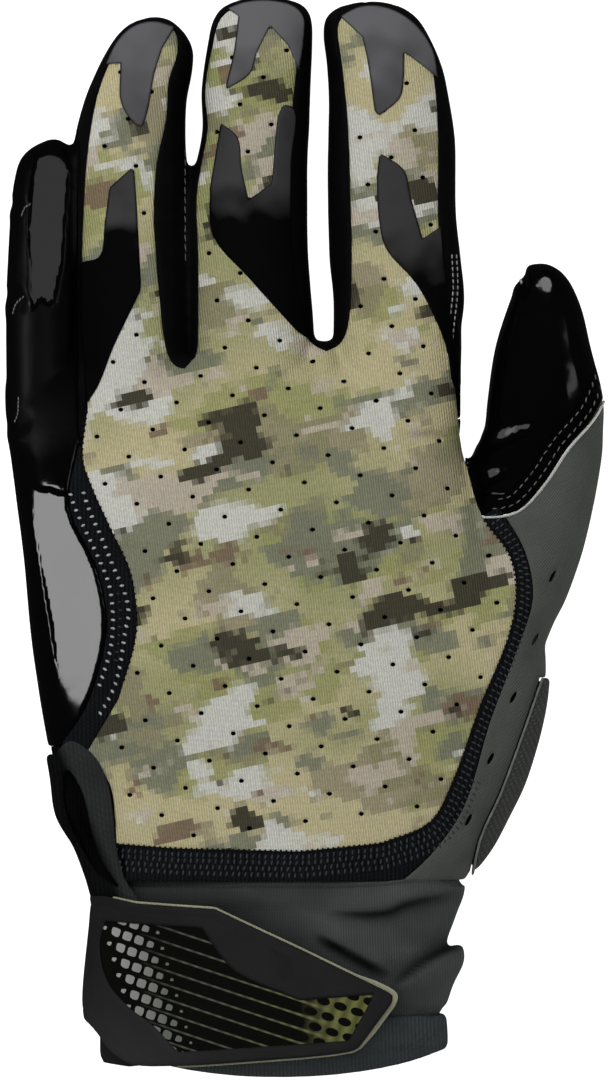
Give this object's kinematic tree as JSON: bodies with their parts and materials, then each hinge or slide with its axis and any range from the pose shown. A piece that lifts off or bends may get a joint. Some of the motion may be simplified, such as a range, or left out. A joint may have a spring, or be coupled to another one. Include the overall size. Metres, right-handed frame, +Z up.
{
  "type": "football receiver glove",
  "caption": "Left-hand receiver glove with a perforated knit back, glossy grip palm, stretch cuff and a wrist strap with a moulded tab.",
  "frame": {"origin": "on the surface that the glove lies on, under the middle of its box", "axes": "+Y to the fingertips, +X to the thumb side, +Z up, out of the back of the hand"},
  "size_m": [0.126, 0.2264, 0.0392],
  "materials": {
    "grip_skin": "patent gloss",
    "perforated_knit": "fine knit with a block camouflage print and punched holes",
    "mesh_tape": "fine mesh with rows of stitches",
    "side_skin": "satin coated cloth",
    "moulded_film": "smooth satin film",
    "twill_cloth": "fine diagonal twill",
    "textured_pad": "pebbled pad",
    "khaki_trim": "matt edge",
    "neoprene": "ribbed stretch cloth",
    "strap_rubber": "matt moulded",
    "window_gloss": "glossy with a printed lattice"
  },
  "bodies": {
    "root": {"palm_panel": "grip_skin", "little_finger_wrap": "grip_skin", "thumb_panel": "grip_skin", "back_panel": "perforated_knit", "outer_edge_tape": "mesh_tape", "back_border_tape": "mesh_tape", "vent_binding": "mesh_tape", "side_little_ring": "side_skin", "side_ring_middle": "side_skin", "side_middle_index": "side_skin", "side_index": "side_skin", "overlay_ring_tip": "moulded_film", "overlay_ring_knuckle": "moulded_film", "overlay_middle_tip": "moulded_film", "overlay_middle_knuckle": "moulded_film", "overlay_index_tip": "moulded_film", "overlay_index_knuckle": "moulded_film", "thumb_gusset": "twill_cloth", "thumb_seam_tape": "grip_skin", "heel_pad": "textured_pad", "vent_gusset": "twill_cloth", "thumb_piping": "khaki_trim", "tab_backing": "khaki_trim", "wrist_cuff": "neoprene", "cuff_hem": "neoprene", "wrist_strap": "strap_rubber", "strap_tab": "strap_rubber", "tab_inlay": "window_gloss"}
  },
  "joints": []
}
